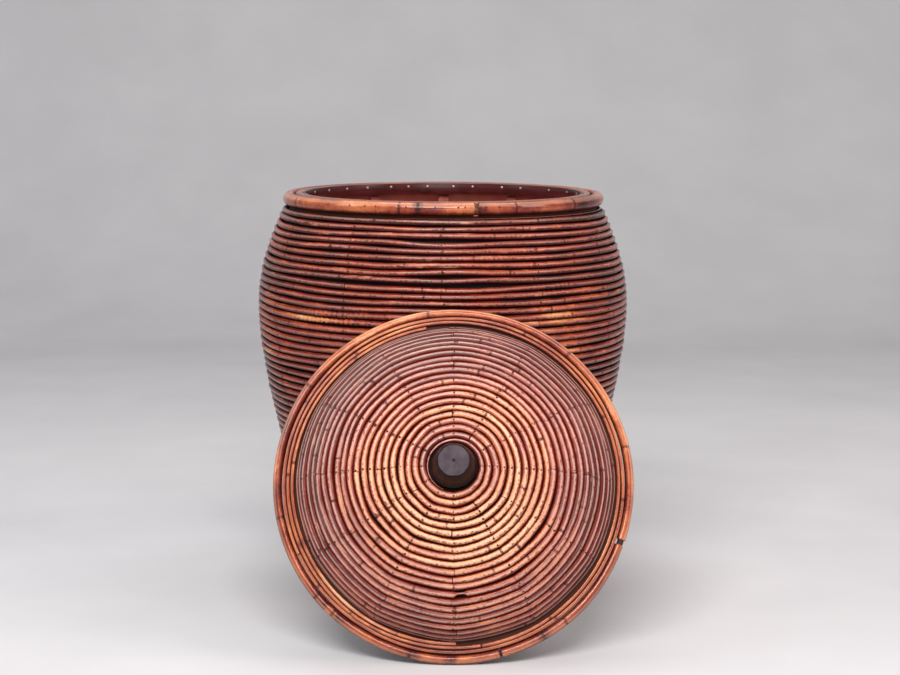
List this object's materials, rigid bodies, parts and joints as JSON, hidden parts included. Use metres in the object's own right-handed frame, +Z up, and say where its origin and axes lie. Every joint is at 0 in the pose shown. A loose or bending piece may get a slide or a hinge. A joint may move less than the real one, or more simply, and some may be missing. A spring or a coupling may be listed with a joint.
{
  "type": "lidded reed urn",
  "caption": "Round barrel-shaped urn wound with nailed reed on a ribbed frame, with a domed reed lid and a plug knob taken off and leaning on its front.",
  "frame": {"origin": "on the floor under the middle of the urn, at the underside of its base board", "axes": "+Z up along the urn's own axis, -Y to the front where the lid leans, +X to the viewer's right"},
  "size_m": [0.3794, 0.5428, 0.4],
  "materials": {
    "reed": "red-brown lacquered reed, satin gloss, darker at the nodes and in the grooves",
    "pole": "tan to orange-brown lacquered rattan pole with dark nodes and pin holes",
    "band": "dark maroon lacquered flat strip with pale nail heads",
    "frame_wood": "brown stained rattan ribs and hoops",
    "lining": "brown stained thin lining behind the reed",
    "board": "stained plain board",
    "knob": "dark brown turned wood, satin lacquer",
    "metal": "plain steel nails, screw and washer"
  },
  "bodies": {
    "urn": {"urn_base_board": "board", "urn_foot_hoop": "pole", "urn_lining": "lining", "urn_reed_winding": "reed", "urn_rib_01": "frame_wood", "urn_rib_02": "frame_wood", "urn_rib_03": "frame_wood", "urn_rib_04": "frame_wood", "urn_rib_05": "frame_wood", "urn_rib_06": "frame_wood", "urn_rib_07": "frame_wood", "urn_rib_08": "frame_wood", "urn_rib_09": "frame_wood", "urn_rib_10": "frame_wood", "urn_rib_11": "frame_wood", "urn_rib_12": "frame_wood", "urn_rim_pole": "pole", "urn_rim_hoop": "pole", "urn_rim_band": "band"},
    "lid": {"lid_lining": "lining", "lid_reed_winding": "reed", "lid_rib_01": "frame_wood", "lid_rib_02": "frame_wood", "lid_rib_03": "frame_wood", "lid_rib_04": "frame_wood", "lid_rib_05": "frame_wood", "lid_rib_06": "frame_wood", "lid_rib_07": "frame_wood", "lid_rib_08": "frame_wood", "lid_rib_09": "frame_wood", "lid_rib_10": "frame_wood", "lid_rib_11": "frame_wood", "lid_rib_12": "frame_wood", "lid_frame_ring": "frame_wood", "lid_locating_hoop": "frame_wood", "lid_brim_pole": "pole", "lid_brim_reed_outer": "pole", "lid_brim_reed_middle": "pole", "lid_brim_reed_inner": "pole", "lid_boss": "board", "lid_knob": "knob", "lid_knob_washer": "metal", "lid_knob_screw": "metal"}
  },
  "joints": [
    {"name": "lid_lift", "type": "slide", "parent": "urn", "child": "lid", "axis": [0, -0.9171, 0.3987], "range_m": [0, 0.25]}
  ]
}
